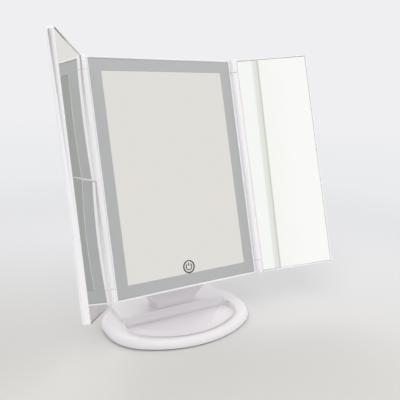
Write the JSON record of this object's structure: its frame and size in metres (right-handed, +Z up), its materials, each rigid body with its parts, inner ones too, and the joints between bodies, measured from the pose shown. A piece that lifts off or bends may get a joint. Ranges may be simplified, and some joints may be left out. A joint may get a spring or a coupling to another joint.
{
  "type": "makeup mirror",
  "caption": "Trifold tabletop makeup mirror with a frosted light band, folding mirror wings and a tilting head on a recessed tray base.",
  "frame": {"origin": "on the table, under the middle of the base", "axes": "+X to the right seen from the front, +Y to the back, +Z up; the person stands on the -Y side"},
  "size_m": [0.3163, 0.1587, 0.3075],
  "materials": {
    "shell_plastic": "glossy white moulded plastic with soft rounded edges",
    "base_plastic": "glossy milk-white moulded plastic",
    "under_plastic": "fine satin texture, white",
    "inner_plastic": "plain white inner moulding",
    "foot_rubber": "soft pale grey, slightly rough",
    "screw_steel": "zinc-plated steel",
    "contact_metal": "bright nickel plate",
    "board_plastic": "white solder mask with faint glass weave",
    "black_plastic": "black engineering plastic",
    "mirror_glass": "silvered clear glass",
    "frosted_glass": "etched satin glass, light off",
    "icon_print": "dark grey printed line",
    "led_lens": "warm yellow phosphor window",
    "soft_foam": "closed-cell foam"
  },
  "bodies": {
    "base": {"base_top_shell": "base_plastic", "base_bottom_cover": "under_plastic", "rubber_feet": "foot_rubber", "base_screws": "screw_steel", "neck_screws": "screw_steel", "battery_contacts": "contact_metal", "neck_front_shell": "base_plastic", "neck_rear_cover": "base_plastic", "neck_cover_screws": "screw_steel", "power_board": "board_plastic", "board_screws": "screw_steel", "usb_socket": "contact_metal", "usb_tongue": "black_plastic", "switch_body": "black_plastic", "tilt_shaft": "screw_steel", "hinge_caps": "base_plastic", "friction_washers": "black_plastic"},
    "battery_door": {"battery_door": "under_plastic"},
    "switch_slider": {"switch_slider": "black_plastic"},
    "head": {"tilt_bracket": "inner_plastic", "center_frame": "shell_plastic", "head_rear_cover": "shell_plastic", "head_screws": "screw_steel", "bracket_screws": "screw_steel", "hinge_pins": "screw_steel", "center_mirror": "mirror_glass", "light_band": "frosted_glass", "touch_icon": "icon_print", "light_channel": "inner_plastic", "led_boards": "board_plastic", "led_chips": "led_lens", "touch_board": "board_plastic", "touch_pad": "soft_foam"},
    "left_wing": {"left_wing_shell": "shell_plastic", "left_wing_back": "shell_plastic", "left_upper_mirror": "mirror_glass", "left_lower_mirror": "mirror_glass", "left_wing_pads": "soft_foam"},
    "right_wing": {"right_wing_shell": "shell_plastic", "right_wing_back": "shell_plastic", "right_mirror": "mirror_glass", "right_wing_pads": "soft_foam"}
  },
  "joints": [
    {"name": "head_tilt", "type": "hinge", "parent": "base", "child": "head", "pos_m": [0, 0.01393, 0.07689], "axis": [1, 0, 0], "range_deg": [-18, 24]},
    {"name": "left_fold", "type": "hinge", "parent": "head", "child": "left_wing", "pos_m": [-0.0892, 0.01687, 0.16846], "axis": [0, 0.309, 0.9511], "range_deg": [-58, 122]},
    {"name": "right_fold", "type": "hinge", "parent": "head", "child": "right_wing", "pos_m": [0.0892, 0.01687, 0.16846], "axis": [0, -0.309, -0.9511], "range_deg": [-21, 159]},
    {"name": "door_slide", "type": "slide", "parent": "base", "child": "battery_door", "axis": [1, 0, 0], "range_m": [0, 0.006]},
    {"name": "switch_slide", "type": "slide", "parent": "base", "child": "switch_slider", "axis": [1, 0, 0], "range_m": [0, 0.003]}
  ]
}
